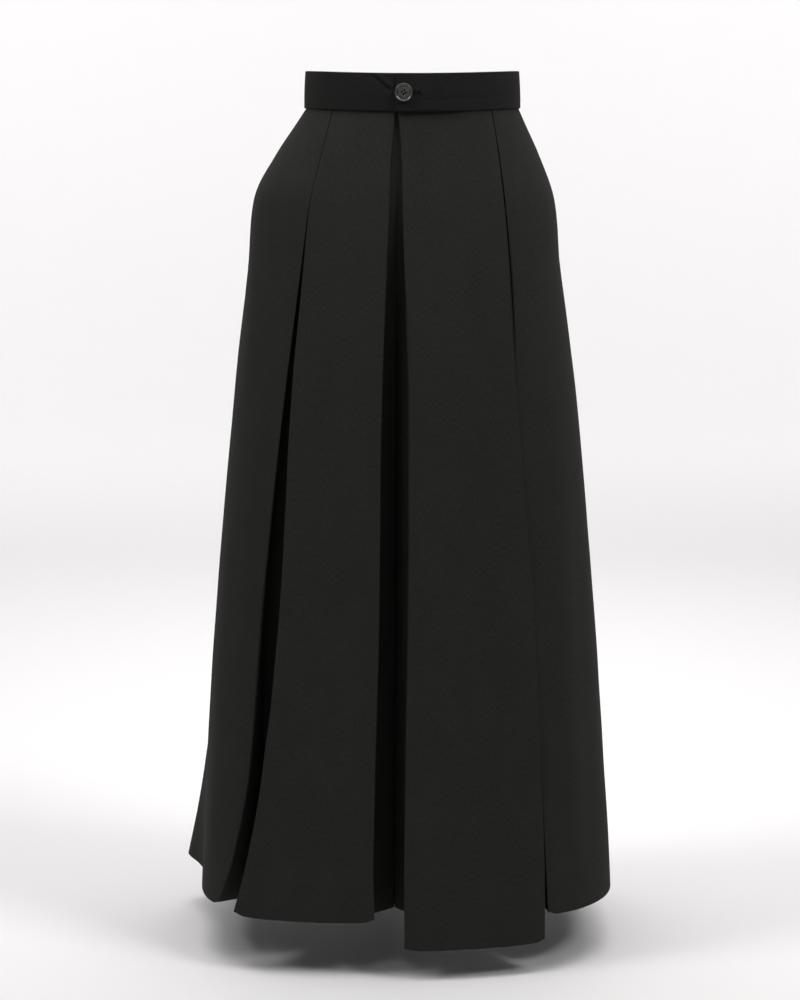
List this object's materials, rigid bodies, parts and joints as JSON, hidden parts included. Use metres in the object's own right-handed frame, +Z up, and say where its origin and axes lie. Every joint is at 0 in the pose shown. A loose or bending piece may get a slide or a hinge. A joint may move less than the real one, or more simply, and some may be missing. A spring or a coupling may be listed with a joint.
{
  "type": "hakama trousers",
  "caption": "Wide black hakama trousers, worn and hanging, with inverted box pleats in the front, side seam pockets, a plain waistband and a button.",
  "frame": {"origin": "middle of the waist opening, level with the middle of the waistband at the front", "axes": "+Z up along the trousers, which face -Y; the wearer's left is +X"},
  "size_m": [0.5319, 0.4392, 1.02],
  "materials": {
    "cloth": "matt black twill",
    "band_cloth": "matt black twill, faced",
    "button_plastic": "satin dark grey"
  },
  "bodies": {
    "root": {"waistband": "band_cloth", "button": "button_plastic", "side_front_right": "cloth", "side_front_left": "cloth", "front_right": "cloth", "front_left": "cloth", "back_right": "cloth", "back_left": "cloth", "pocket_facing_right": "cloth", "pocket_facing_left": "cloth"}
  },
  "joints": []
}
